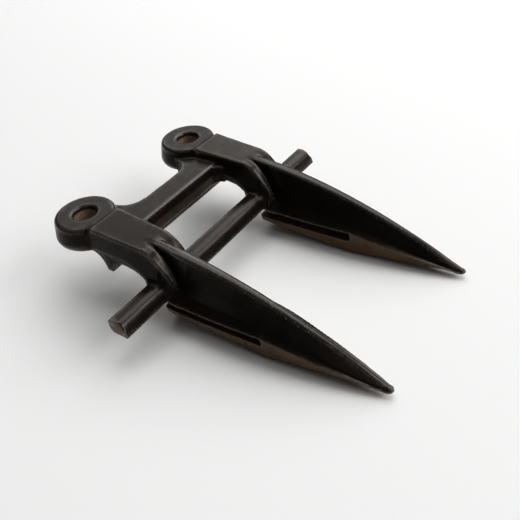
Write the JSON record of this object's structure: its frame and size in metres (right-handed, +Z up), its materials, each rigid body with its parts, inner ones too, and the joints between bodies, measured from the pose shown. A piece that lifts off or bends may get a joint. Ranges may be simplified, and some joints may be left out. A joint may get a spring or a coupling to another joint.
{
  "type": "mower knife guard",
  "caption": "Forged steel knife guard for a finger-bar mower: keeled, pointed fingers slotted for the knife, joined by a bridge and a crossbar, with bolt eyes at the back.",
  "frame": {"origin": "midway between the two bolt holes, on the plane of the eyes' faces that seat on the cutter bar", "axes": "X along the mower's cutter bar, the fingers point to -Y, +Z up on the keel side, as pictured, which is upside down from how it works"},
  "size_m": [0.15, 0.1719, 0.0377],
  "materials": {
    "forged_steel": "black dip paint over a forged skin, semi-gloss, worn bright along the ridges"
  },
  "bodies": {
    "root": {"knife_guard": "forged_steel"}
  },
  "joints": []
}
